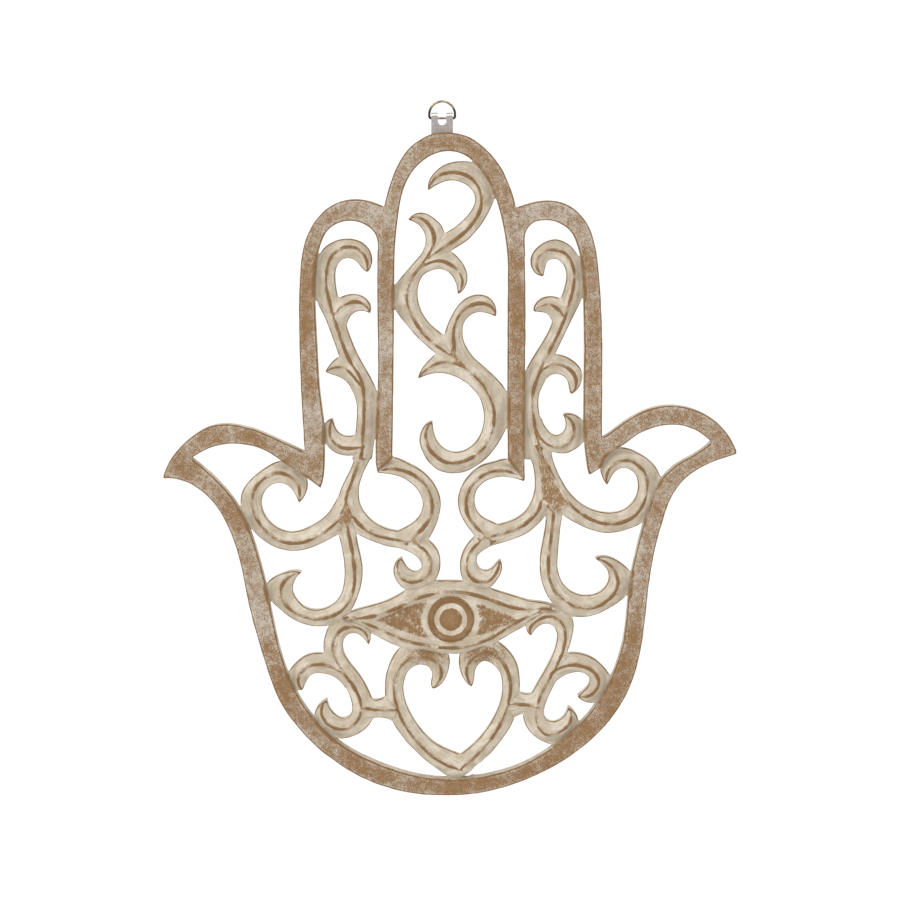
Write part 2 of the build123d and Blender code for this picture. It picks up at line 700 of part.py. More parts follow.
def left_thumb_scroll():
    tip = (299.4, 501.5)
    return stroke(
        [
            (350, 536), (338, 535), (327, 540.8), (310.7, 547.9), (293, 551.2), (277, 548),
            (264.8, 541.6), (255.6, 534), (246, 521), (240.8, 506), (242.2, 492), (250.5, 479.6),
            (264, 468.6), (280.9, 461), (296, 465.5), (307, 478.5), (306.8, 490.5), tip,
        ],
        [
            (347, 512), (338, 520.2), (326, 531), (310.7, 539.2), (293.5, 542.8), (277, 539),
            (264.8, 528.6), (255.9, 515.7), (252.4, 502), (254.6, 489.4), (264.4, 477.6),
            (277.4, 472), (289, 474.6), (297.6, 482), (300, 492), tip,
        ],
        [
            (341, 491), (336, 500.5), (327, 514.4), (311, 526), (292.4, 532), (276.4, 527.2),
            (265.2, 515.2), (261.6, 501.7), (267.2, 488.5), (279.4, 482.6), (290.6, 487.4),
            (295.8, 494), tip,
        ],
    )


def right_thumb_scroll():
    tip = (606.6, 484)
    return stroke(
        [
            (551, 446), (555, 466), (562.5, 481.6), (570.5, 493.4), (585, 506), (604.5, 512.4),
            (621.5, 510.6), (633, 501.4), (638, 487.4), (634.5, 473.5), (624.5, 467.6),
            (614.5, 471.4), (610, 478), tip,
        ],
        [
            (541, 446), (547.5, 465.5), (556, 483.5), (562.7, 494.8), (570.6, 504.4), (582, 513.8),
            (595.3, 520.6), (610.2, 523.6), (624.6, 520.8), (636, 513.4), (643.4, 501.7),
            (646.6, 487.4), (645.6, 475.2), (638.2, 465), (627.4, 459.6), (616.2, 461.7),
            (607.8, 470), tip,
        ],
        [
            (534, 449), (538.5, 470), (544, 491), (554.5, 507.5), (569, 519.3), (586.5, 528.2),
            (604.4, 533), (624, 530.6), (641.7, 523), (654.5, 509), (661.5, 493.5), (661, 479),
            (652.7, 463.4), (638.9, 453.1), (621.7, 447.3), (607.5, 451.5), (600.6, 462.5),
            (601.4, 474.5), tip,
        ],
    )


def left_drop_scroll():
    tip = (302, 572)
    return stroke(
        [
            (330, 508), (336.5, 527), (341, 546), (344, 563), (343.8, 582), (340.6, 595),
            (333.4, 604.4), (322.7, 609.9), (312.2, 610.5), (303.6, 607.4), (296.6, 600.6),
            (292.4, 591.6), (293.4, 583.5), tip,
        ],
        [
            (344, 507), (347, 522), (349.6, 537), (352.6, 553), (354.5, 570), (354, 587),
            (349.2, 601.8), (340.9, 611.3), (330.6, 616.8), (317.8, 619.2), (305.4, 617.8),
            (293, 612), (284, 602.4), (280.5, 592.4), (283.2, 583), (290.6, 575.4), tip,
        ],
        [
            (356, 509), (355.6, 525), (356.6, 538), (360.2, 555), (362.5, 571), (360.6, 587),
            (355.8, 601.5), (350, 613), (341, 622), (330, 626.4), (317, 627.6), (302.6, 624.8),
            (288.3, 617.2), (276, 607), (266, 594.5), (267.4, 583.5), (277, 576.2),
            (288.5, 571.6), tip,
        ],
    )


def right_drop_scroll():
    tip = (595.4, 557.8)
    return stroke(
        [
            (543, 500), (546, 517), (544, 534), (540.8, 552.2), (540, 568.6), (542.4, 584),
            (549, 599), (556, 609), (564.5, 615.2), (576, 618.4), (590.9, 617.2), (605.2, 611.4),
            (620, 602.5), (630.5, 592), (633, 579), (628.5, 570), (619.6, 562.4), (609, 557), tip,
        ],
        [
            (553, 498), (553.4, 513), (551.5, 531.8), (549, 552.2), (548.3, 570.6), (550.6, 583),
            (556.6, 592.8), (565.1, 601), (574.8, 606.6), (586.1, 608.6), (597.2, 606.6),
            (606.8, 600.8), (615, 592.4), (617.8, 583), (616, 573.5), (610.7, 565.6),
            (603.6, 560.6), tip,
        ],
        [
            (566, 500), (561.8, 518), (559.5, 537), (557.9, 556), (559, 575), (565, 586.6),
            (574, 593.6), (586.1, 596.5), (597.8, 594.2), (605.8, 587.5), (609.2, 578.3),
            (607, 569.4), (601.8, 563.4), tip,
        ],
    )


# The scrolls below the eye


def left_lower_scroll():
    head_tip, foot_tip = (368.4, 645), (326.8, 701)
    stem = stroke(
        [
            head_tip, (363.6, 639.6), (358.2, 635.3), (351.4, 634.6), (344.8, 638.5), (342.4, 647.6),
            (345.6, 659), (353.8, 670.2), (362.5, 682.4), (368.8, 694.6), (373, 708),
            (372.6, 721), (365.6, 731.4), (354.5, 739), (342, 742.4), (329, 740.5), (318, 731.5),
            (313.6, 718), (318.6, 707), foot_tip,
        ],
        [
            head_tip, (366.5, 635.7), (360.6, 629.2), (352.4, 627), (342.4, 629.4), (334.8, 637),
            (331.5, 647.1), (333, 657.7), (338.6, 667.2), (345.9, 676.2), (353.5, 687.4),
            (359.8, 699.4), (361.9, 710), (359, 720.1), (352.4, 727.6), (343.1, 731),
            (331.9, 729), (323.6, 721.6), (320.8, 712), foot_tip,
        ],
        [
            head_tip, (370.6, 637.5), (367.2, 628), (358, 621), (346, 618.4), (335.6, 621.4),
            (327.8, 629), (323.8, 640), (323.2, 652), (327.4, 664), (334.4, 674.8), (342.4, 685.6),
            (349.6, 697), (353, 708.5), (350.2, 717.4), (343.3, 721), (334.6, 717.6), (328.8, 710),
            foot_tip,
        ],
    )
    curl_tip = (302.2, 690.6)
    curl = stroke(
        [
            (352, 676), (343, 665.4), (333.6, 658.6), (322.7, 655.4), (310.3, 655.6),
            (299.5, 661), (290, 671.5), (286.6, 681.5), (291.5, 690), curl_tip,
        ],
        [
            (349.6, 683), (341.6, 674), (332.3, 668), (320.8, 665.3), (311, 666), (303, 671.2),
            (298.4, 678.7), (298.4, 686), curl_tip,
        ],
        [
            (344, 690), (338, 682), (330, 677.6), (320.2, 675.5), (311, 676.9), (306.6, 682),
            curl_tip,
        ],
    )
    link = stroke(
        [(360, 694), (372, 702.5), (385, 699.4), (398, 687)],
        [(362, 710), (375, 711.2), (387, 711.6), (399, 711)],
        [(364, 730), (375, 721), (387, 722), (399, 733)],
    )
    return join([stem, curl, link])


def right_lower_scroll():
    head_tip, foot_tip = (531.2, 636), (568.4, 708.6)
    stem = stroke(
        [
            head_tip, (536.2, 629.4), (543, 625.1), (550, 625.3), (556.2, 630.8), (557.4, 640.4),
            (554.5, 652.4), (547.8, 667.2), (539, 683.2), (531, 698), (525, 711), (524, 722.5),
            (529, 733), (538, 741.5), (550.2, 747.8), (563, 747.8), (574.4, 739.6), (579.5, 727.3),
            (576, 715.6), foot_tip,
        ],
        [
            head_tip, (530, 629.4), (535.2, 622.3), (543, 617.6), (552, 616.6), (559.6, 619.8),
            (564.8, 627.6), (566.5, 637.6), (565.2, 647.6), (562, 657.4), (557.4, 667.2),
            (551.4, 677), (543.9, 689.4), (538.4, 702.6), (535, 716.6), (537, 728.2),
            (543, 735.4), (552.5, 736.8), (563.4, 732.2), (570.8, 723.6), (571.8, 716), foot_tip,
        ],
        [
            head_tip, (526.2, 628.6), (527.6, 621), (535.4, 613.4), (546.4, 608.8), (558, 608.8),
            (567.6, 613.4), (573.4, 621), (573.6, 631.5), (571, 643.3), (567.4, 653.8),
            (563.6, 664.6), (559.4, 676), (553.6, 689), (547.4, 702), (544, 714.6), (547.6, 722.8),
            (555.2, 724.5), (563.2, 720.2), (567.2, 714), foot_tip,
        ],
    )
    curl_tip = (578, 697.6)
    curl = stroke(
        [
            (549, 668), (557, 659), (567.4, 655.1), (580, 655.2), (592.7, 659.4), (603.6, 668.4),
            (611.4, 680), (609.6, 694.5), (598.5, 705.6), (586.5, 704.4), curl_tip,
        ],
        [
            (550, 678), (555.9, 670.7), (566.3, 666.6), (578, 666.2), (589.8, 669.8), (597.6, 677.6),
            (598.6, 686.8), (592.4, 695), (585, 697.8), curl_tip,
        ],
        [
            (552, 692), (558.5, 682), (567, 676.9), (577.8, 674), (585, 675.2), (590.2, 681),
            (588, 688.9), (583, 693.8), curl_tip,
        ],
    )
    link = stroke(
        [(507, 681), (519.5, 694.5), (531, 696.4), (543, 688)],
        [(505, 706), (514, 705.4), (525, 706.4), (540, 709.5)],
        [(503, 736), (514.5, 721), (524, 717), (536, 727.5)],
    )
    return join([stem, curl, link])


# The picture hanger: a steel strip folded double round the bar of a wire ring, and its screw


def hanger_strap():
    slot_radius = ring_clearance + wire_radius
    near, far = bar_standoff - slot_radius, bar_standoff + slot_radius
    outer_far = far + strap_thickness
    doubled = 2 * strap_thickness
    crest = bar_height + fold_slot
    pinch = bar_height - fold_closing
    foot = crest + slot_radius + strap_thickness - strap_length
    skin = make_face(
        [
            Line((0, foot), (0, crest)),
            ThreePointArc((0, crest), (bar_standoff, crest + bar_standoff), (outer_far, crest)),
            Line((outer_far, crest), (outer_far, bar_height)),
            Line((outer_far, bar_height), (doubled, pinch)),
            Line((doubled, pinch), (doubled, foot)),
            Line((doubled, foot), (0, foot)),
        ]
    )
    lining = make_face(
        [
            Line((near, pinch), (near, crest)),
            ThreePointArc((near, crest), (bar_standoff, crest + slot_radius), (far, crest)),
            Line((far, crest), (far, bar_height)),
            Line((far, bar_height), (near, pinch)),
        ]
    )
    side_plane = Plane(origin=(0, -bar_standoff, 0), x_dir=(0, 1, 0), z_dir=(1, 0, 0))
    strip = extrude(side_plane * (skin - lining), strap_width / 2, both=True)
    notch_radius = strap_notch_width / 2
    notch_top = crest + bar_standoff
    notch_end = notch_top - strap_notch_depth + notch_radius
    slot = Pos(0, notch_end) * Circle(notch_radius)
    mouth = notch_top + overrun - notch_end
    slot += Pos(0, notch_end + mouth / 2) * Rectangle(strap_notch_width, mouth)
    cutter = extrude(board_plane * slot, outer_far + overrun, both=True)
    strip -= cutter
    foot_corners = [
        edge for edge in strip.edges().filter_by(Axis.Y) if edge.center().Z < foot + strap_thickness
    ]
    strip = chamfer(foot_corners, strap_corner)
    hole = Cylinder(screw_diameter / 2 + strap_hole_clearance, outer_far + overrun)
    return strip - screw_place() * hole


def hanger_ring():
    """A D of round wire, whose two ends butt in the middle of its bar."""
    reach = ring_width / 2 - wire_radius
    straight = strap_width / 2 + ring_side_clearance
    corner = reach - straight
    rise = (ring_height - ring_wire) - reach
    section = Circle(wire_radius)
    half_bar = Plane.YZ * Pos(0, 0, ring_butt_gap / 2) * extrude(section, straight - ring_butt_gap / 2)
    bend = revolve(Plane.YZ * Pos(0, 0, straight) * section, Axis((straight, 0, corner), (0, 1, 0)), -90)
    leg = Pos(reach, 0, corner) * extrude(section, rise - corner)
    bow = revolve(Pos(reach, 0, 0) * section, Axis.Y, -90)
    half = join([half_bar, bend, leg, Pos(0, 0, rise) * bow])
    ring = half + mirror(half, Plane.YZ)
    return Pos(0, 0, bar_height) * ring


def screw_place():
    """Where the screw stands: its axis runs towards the front, from the board's back face."""
    top = bar_height + fold_slot + bar_standoff
    height = top - strap_length + screw_above_strap_end
    return Plane(origin=(0, -bar_standoff, height), x_dir=(1, 0, 0), z_dir=(0, -1, 0)).location


def hanger_screw():
    seat = -2 * strap_thickness
    shank = screw_diameter / 2
    head = screw_head_diameter / 2
    top = seat - screw_head_height
    end = seat + screw_length
    outline = Polyline(
        (0, end), (0, top), (screw_head_flat / 2, top), (head, seat - screw_head_height / 2),
        (head, seat), (shank, seat), (shank, end - screw_point_length), close=True,
    )
    profile = make_face(outline)
    return screw_place() * revolve(Plane.XZ * profile, Axis.Z)


def pilot_hole():
    return screw_place() * Cylinder(screw_diameter / 2 + screw_hole_clearance, 2 * screw_length)


# Each carved part of the board gives way to the parts named before it, so that they meet face to face
board_parts = [
    ("middle_finger_band", middle_finger_band, []),
    ("index_finger_band", index_finger_band, ["middle_finger_band"]),
    ("ring_finger_band", ring_finger_band, ["middle_finger_band"]),
    ("left_thumb_band", left_thumb_band, ["index_finger_band"]),
    ("right_thumb_band", right_thumb_band, ["ring_finger_band"]),
    ("palm_band", palm_band, []),
    ("eye", eye, []),
    ("heart", heart, ["palm_band", "eye"]),
    ("index_scroll", index_scroll, ["index_finger_band", "middle_finger_band"]),
    ("ring_scroll", ring_scroll, ["ring_finger_band", "middle_finger_band"]),
    ("left_palm_scroll", left_palm_scroll, ["index_scroll", "middle_finger_band", "eye"]),
    ("right_palm_scroll", right_palm_scroll, ["ring_scroll", "middle_finger_band", "eye"]),
    (
        "middle_scroll", middle_scroll,
        ["middle_finger_band", "left_palm_scroll", "right_palm_scroll"],
    ),
    (
        "left_thumb_scroll", left_thumb_scroll,
        ["palm_band", "left_thumb_band", "index_finger_band", "left_palm_scroll"],
    ),
    (
        "right_thumb_scroll", right_thumb_scroll,
        ["palm_band", "right_thumb_band", "ring_finger_band", "right_palm_scroll", "ring_scroll"],
    ),
    (
        "left_drop_scroll", left_drop_scroll,
        ["palm_band", "left_palm_scroll", "left_thumb_scroll", "eye"],
    ),
    (
        "right_drop_scroll", right_drop_scroll,
        ["palm_band", "right_palm_scroll", "right_thumb_scroll", "eye"],
    ),
    (
        "left_lower_scroll", left_lower_scroll,
        ["palm_band", "eye", "heart", "left_drop_scroll"],
    ),
    (
        "right_lower_scroll", right_lower_scroll,
        ["palm_band", "eye", "heart", "right_drop_scroll"],
    ),
]

os.makedirs("parts", exist_ok=True)
made = {}
for name, make, earlier in board_parts:
    piece = make()
    for other in earlier:
        piece = piece - made[other]
    # What is cut off on a neighbour's far side is waste
    made[name] = piece.solids().sort_by(SortBy.VOLUME)[-1]

for name, piece in made.items():
    placed = board_plane * piece
    if name == "middle_finger_band":
        placed -= pilot_hole()
    solids = placed.solids()
    print(name, len(solids), [round(solid.volume, 1) for solid in solids])
    export_step(placed, f"parts/{name}.step")

for name, make in (
    ("hanger_strap", hanger_strap),
    ("hanger_ring", hanger_ring),
    ("hanger_screw", hanger_screw),
):
    piece = make()
    print(name, len(piece.solids()), round(piece.volume, 1))
    export_step(piece, f"parts/{name}.step")
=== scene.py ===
import math

import bpy
import numpy as np
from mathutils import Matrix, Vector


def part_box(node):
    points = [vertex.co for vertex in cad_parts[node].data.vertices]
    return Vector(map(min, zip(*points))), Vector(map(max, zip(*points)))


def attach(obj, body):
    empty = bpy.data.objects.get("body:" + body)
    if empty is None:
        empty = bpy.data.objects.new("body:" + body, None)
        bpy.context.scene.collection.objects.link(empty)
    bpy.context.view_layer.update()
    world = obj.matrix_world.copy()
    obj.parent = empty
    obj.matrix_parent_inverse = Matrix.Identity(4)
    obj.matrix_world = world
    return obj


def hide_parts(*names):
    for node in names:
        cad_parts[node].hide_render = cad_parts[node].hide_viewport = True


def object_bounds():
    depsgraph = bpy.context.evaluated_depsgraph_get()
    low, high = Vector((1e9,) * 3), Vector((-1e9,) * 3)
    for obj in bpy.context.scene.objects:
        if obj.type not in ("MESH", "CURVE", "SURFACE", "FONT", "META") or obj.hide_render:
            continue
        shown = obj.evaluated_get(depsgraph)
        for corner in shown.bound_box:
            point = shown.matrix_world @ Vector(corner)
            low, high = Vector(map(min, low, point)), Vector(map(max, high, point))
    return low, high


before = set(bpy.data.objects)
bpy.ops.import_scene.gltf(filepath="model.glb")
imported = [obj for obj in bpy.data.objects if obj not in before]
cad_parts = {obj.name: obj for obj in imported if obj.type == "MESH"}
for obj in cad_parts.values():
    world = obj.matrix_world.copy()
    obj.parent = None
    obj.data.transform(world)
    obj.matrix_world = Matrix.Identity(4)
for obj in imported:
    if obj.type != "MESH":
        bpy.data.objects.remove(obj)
cad_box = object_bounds()

# The board: one wooden board, sawn through and hand carved, then washed with paint and sanded.
# Everything here is worked out from its relief, the height of the wood above the board's flat back,
# on a fine grid seen from the front.

bands = [
    "middle_finger_band", "index_finger_band", "ring_finger_band", "left_thumb_band",
    "right_thumb_band", "palm_band",
]
scrolls = [
    "index_scroll", "ring_scroll", "middle_scroll", "left_palm_scroll", "right_palm_scroll",
    "left_thumb_scroll", "right_thumb_scroll", "left_drop_scroll", "right_drop_scroll",
    "left_lower_scroll", "right_lower_scroll",
]
board_nodes = bands + scrolls + ["eye", "heart"]
grid_cell = 0.0003
grid_margin = 0.008
sown_per_cell = 6
least_sown = 2
front_tilt = 0.05
no_length = 1e-12
least_filled = 1e-3
board_low = np.min([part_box(name)[0] for name in board_nodes], axis=0)
board_high = np.max([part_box(name)[1] for name in board_nodes], axis=0)
board_back = board_high[1]
grid_low = board_low - grid_margin
grid_shape = tuple(np.ceil((board_high - board_low + 2 * grid_margin) / grid_cell).astype(int)[[2, 0]])
chance = np.random.default_rng(7)


def corners_of(name):
    """The corners of a part's triangles, as an array of triangle, corner and axis."""
    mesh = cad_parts[name].data
    mesh.calc_loop_triangles()
    points = np.empty(len(mesh.vertices) * 3, np.float32)
    mesh.vertices.foreach_get("co", points)
    order = np.empty(len(mesh.loop_triangles) * 3, np.int32)
    mesh.loop_triangles.foreach_get("vertices", order)
    return points.reshape(-1, 3)[order].reshape(-1, 3, 3).astype(float)


def outward(corners):
    """Each triangle's unit normal, from the cross product of two of its sides."""
    normal = np.cross(corners[:, 1] - corners[:, 0], corners[:, 2] - corners[:, 0])
    return normal / np.maximum(np.linalg.norm(normal, axis=1, keepdims=True), no_length)


def relief_of(names):
    """Points are sown evenly over the front triangles, and each grid cell keeps its highest."""
    height = np.zeros(grid_shape)
    for name in names:
        corners = corners_of(name)
        corners = corners[outward(corners)[:, 1] < -front_tilt]
        across = corners[:, 1] - corners[:, 0]
        along = corners[:, 2] - corners[:, 0]
        area = np.abs(across[:, 0] * along[:, 2] - across[:, 2] * along[:, 0]) / 2
        count = np.ceil(area / grid_cell**2 * sown_per_cell).astype(int) + least_sown
        which = np.repeat(np.arange(len(corners)), count)
        share = chance.random((2, len(which)))
        share = np.where(share.sum(axis=0) > 1, 1 - share, share)[..., None]
        points = corners[which, 0] + share[0] * across[which] + share[1] * along[which]
        place = ((points - grid_low) / grid_cell).astype(int)
        np.maximum.at(height, (place[:, 2], place[:, 0]), board_back - points[:, 1])
    return height


def blurred(grid, reach):
    """The grid averaged under a bell curve of that reach, by way of its Fourier transform."""
    rows = np.fft.fftfreq(grid.shape[0], grid_cell)[:, None]
    columns = np.fft.rfftfreq(grid.shape[1], grid_cell)
    bell = np.exp(-2 * (np.pi * reach) ** 2 * (rows**2 + columns**2))
    return np.fft.irfft2(np.fft.rfft2(grid) * bell, grid.shape)


def levelled(height, reach):
    """The mean height of the wood within reach, which the open windows don't pull down."""
    filled = np.maximum(blurred((height > 0).astype(float), reach), least_filled)
    return blurred(height, reach) / filled


def read(grid, points):
    """The grid's value at each point, blended from the four cells round it."""
    place = (points[:, [2, 0]] - grid_low[[2, 0]]) / grid_cell - 0.5
    corner = np.clip(np.floor(place).astype(int), 0, np.array(grid.shape) - 2)
    part = np.clip(place - corner, 0, 1)
    low, left = corner.T
    up, right = part.T
    bottom = grid[low, left] * (1 - right) + grid[low, left + 1] * right
    top = grid[low + 1, left] * (1 - right) + grid[low + 1, left + 1] * right
    return bottom * (1 - up) + top * up


def eased(value, start, end):
    """0 before start, 1 after end, and a smooth step between them."""
    share = np.clip((value - start) / (end - start), 0, 1)
    return share * share * (3 - 2 * share)


wear_reach = 0.0012
rub_reach = 0.0030
surface_reach = 0.00035
relief = relief_of(board_nodes)
surface = levelled(relief, surface_reach)
proud = surface - levelled(relief, wear_reach)
broad = surface - levelled(relief, rub_reach)
openness = 1 - blurred((relief > 0).astype(float), wear_reach)
slope = np.hypot(*np.gradient(levelled(relief, 2 * surface_reach), grid_cell))

# Carving: each part is remade as fine even faces, its edges rounded by the sandpaper, with the small
# unevenness that a gouge leaves. Where a part meets the next, it runs on a little inside it, so that
# no crack shows.

meeting_depth = 0.0009
meeting_drop = 0.0004
meeting_step = 0.0016
look_ahead = 0.0006
side_tilt = 0.3
thin_wood = 0.004
gouge_depth = 0.00007
gouge_start = (0.001, 0.003)
gouge_waves = 14
shortest_wave = 0.0045
longest_wave = 0.016
sanding = 0.5
merged_digits = 7
wave_direction = chance.normal(size=(gouge_waves, 3))
wave_direction /= np.linalg.norm(wave_direction, axis=1, keepdims=True)
wave_length = chance.uniform(shortest_wave, longest_wave, gouge_waves)
wave_start = chance.uniform(0, 2 * np.pi, gouge_waves)


def halved(corners, longest):
    """Triangles split at the middle of their longest side until no side is longer than that."""
    short = []
    while len(corners):
        sides = np.linalg.norm(corners - np.roll(corners, -1, axis=1), axis=2)
        small = sides.max(axis=1) <= longest
        short.append(corners[small])
        corners, first = corners[~small], sides[~small].argmax(axis=1)
        row = np.arange(len(corners))
        a, b, c = (corners[row, (first + step) % 3] for step in range(3))
        middle = (a + b) / 2
        corners = np.concatenate([np.stack([a, middle, c], axis=1), np.stack([middle, b, c], axis=1)])
    return np.concatenate(short)


def run_on(corners):
    """A short closed prism from each side triangle that another part covers, along its normal."""
    side = np.abs(outward(corners)[:, 1]) < side_tilt
    corners = halved(corners[side], meeting_step)
    normal = outward(corners)
    middle = corners.mean(axis=1)
    inside = read(surface, middle - normal * look_ahead)
    meets = np.ones(len(corners), bool)
    for reach in (look_ahead, meeting_depth + look_ahead):
        outside = read(relief, middle + normal * reach)
        meets &= outside > np.maximum(inside - 2 * meeting_drop, thin_wood)
    near = corners[meets] - normal[meets, None] * meeting_depth / 3
    far = corners[meets] + normal[meets, None] * meeting_depth
    far[:, :, 1] = np.minimum(far[:, :, 1] + meeting_drop, board_back - meeting_drop)
    near[:, :, 1] = np.minimum(near[:, :, 1] + meeting_drop / 2, board_back - meeting_drop)
    walls = [near[:, ::-1], far]
    for a, b in ((0, 1), (1, 2), (2, 0)):
        walls.append(np.stack([near[:, a], near[:, b], far[:, b]], axis=1))
        walls.append(np.stack([near[:, a], far[:, b], far[:, a]], axis=1))
    return np.concatenate(walls)


def mesh_of(name, corners):
    """A mesh of triangles whose equal corners are one vertex."""
    corners = np.round(corners.reshape(-1, 3), merged_digits)
    points, order = np.unique(corners, axis=0, return_inverse=True)
    order = order.reshape(-1, 3)
    order = order[(order != np.roll(order, 1, axis=1)).all(axis=1)]
    mesh = bpy.data.meshes.new(name)
    mesh.from_pydata(points, [], order)
    return mesh


def remade(name, voxel, rounds):
    """The part as even faces of that size, its edges rounded by so many rounds of smoothing."""
    corners = corners_of(name)
    corners = np.concatenate([corners, run_on(corners)])
    rough = bpy.data.objects.new(name + "_rough", mesh_of(name, corners))
    bpy.context.scene.collection.objects.link(rough)
    even = rough.modifiers.new("even", "REMESH")
    even.mode = "VOXEL"
    even.voxel_size = voxel
    even.use_smooth_shade = True
    sanded = rough.modifiers.new("sanded", "SMOOTH")
    sanded.factor = sanding
    sanded.iterations = rounds
    graph = bpy.context.evaluated_depsgraph_get()
    mesh = bpy.data.meshes.new_from_object(rough.evaluated_get(graph))
    bpy.data.objects.remove(rough)
    return mesh


def places(mesh):
    """The mesh's vertices as an array."""
    points = np.empty(len(mesh.vertices) * 3, np.float32)
    mesh.vertices.foreach_get("co", points)
    return points.reshape(-1, 3).astype(float)


def gouged(mesh):
    """Every vertex moves along its normal by a sum of waves, and stays inside the board's box."""
    points = places(mesh)
    normals = np.empty(len(mesh.vertices) * 3, np.float32)
    mesh.vertices.foreach_get("normal", normals)
    normals = normals.reshape(-1, 3)
    phase = points @ wave_direction.T / wave_length * 2 * np.pi + wave_start
    swell = np.sin(phase).mean(axis=1, keepdims=True) * np.sqrt(gouge_waves)
    reached = eased(board_back - points[:, 1:2], *gouge_start)
    points += normals * swell * gouge_depth * reached
    points = np.clip(points, board_low, board_high)
    mesh.vertices.foreach_set("co", points.astype(np.float32).ravel())
    mesh.update()
    return points


def keep(mesh, name, values):
    """One number for each vertex, kept under a name for the paint to read."""
    mesh.attributes.new(name, "FLOAT", "POINT").data.foreach_set("value", values.astype(np.float32))


def whole(points):
    """Rubbed in full everywhere."""
    return np.ones(len(points))


def as_sawn(points):
    """Left in the shape that the saw and the gouge gave it."""
    return points


# What the paint reads from the wood, each as the measure where it starts and the one where it is full
wall_drop = (0.0004, 0.0011)
worn_height = (0.00003, 0.00045)
worn_openness = (0.25, 0.5)
halo_height = (0.0002, 0.0012)
hollow_depth = (0.0014, 0.0030)
arris_openness = (0.22, 0.36)
back_skin = (0.0004, 0.0001)


def carve(name, voxel, rounds, stain, paint, rub=whole, trim=as_sawn):
    """One part of the board: its mesh, the numbers its paint reads, and its place on the panel."""
    mesh = remade(name, voxel, rounds)
    mesh.vertices.foreach_set("co", trim(places(mesh)).astype(np.float32).ravel())
    mesh.update()
    points = gouged(mesh)
    drop = read(surface, points) - (board_back - points[:, 1])
    front = 1 - eased(drop, *wall_drop)
    open_air = read(openness, points)
    worn = eased(read(proud, points), *worn_height) + eased(open_air, *worn_openness)
    keep(mesh, "front", front)
    keep(mesh, "worn", np.clip(worn, 0, 1) * front * rub(points))
    keep(mesh, "rubbed", eased(read(broad, points), *halo_height) * front)
    # How deep each hollow is, where the paint lays painted light against the shade
    keep(mesh, "hollow", eased(-read(broad, points), *hollow_depth))
    keep(mesh, "arris", eased(open_air, *arris_openness) * front)
    keep(mesh, "stain", np.clip(stain(points), 0, 1) * front)
    keep(mesh, "back", eased(board_back - points[:, 1], *back_skin))
    piece = bpy.data.objects.new("carved_" + name, mesh)
    bpy.context.scene.collection.objects.link(piece)
    mesh.materials.append(paint)
    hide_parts(name)
    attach(piece, "panel")


# Paint: a cream wash over raw board, sanded back to the brown wood wherever the board stands proud.
# The same layers serve the bands, whose flat tops are rubbed down all over, and the carved parts.

raw_brown = (0.235, 0.130, 0.052, 1)
deep_brown = (0.190, 0.104, 0.041, 1)
tan = (0.34, 0.235, 0.14, 1)
cream = (0.515, 0.45, 0.345, 1)
pale_cream = (0.64, 0.58, 0.48, 1)
chalk = (0.46, 0.41, 0.34, 1)
# Painted light: the pale cream laid in the hollows, standing in for light against the shade there
painted_fill_cream = (0.74, 0.67, 0.55, 1)
arris_brown = (0.205, 0.105, 0.038, 1)
edge_brown = (0.20, 0.10, 0.031, 1)
bare_board = (0.30, 0.20, 0.11, 1)
dark_board = (0.24, 0.155, 0.082, 1)
pale_fibre = (0.42, 0.31, 0.19, 1)
soft_sheen = 0.3


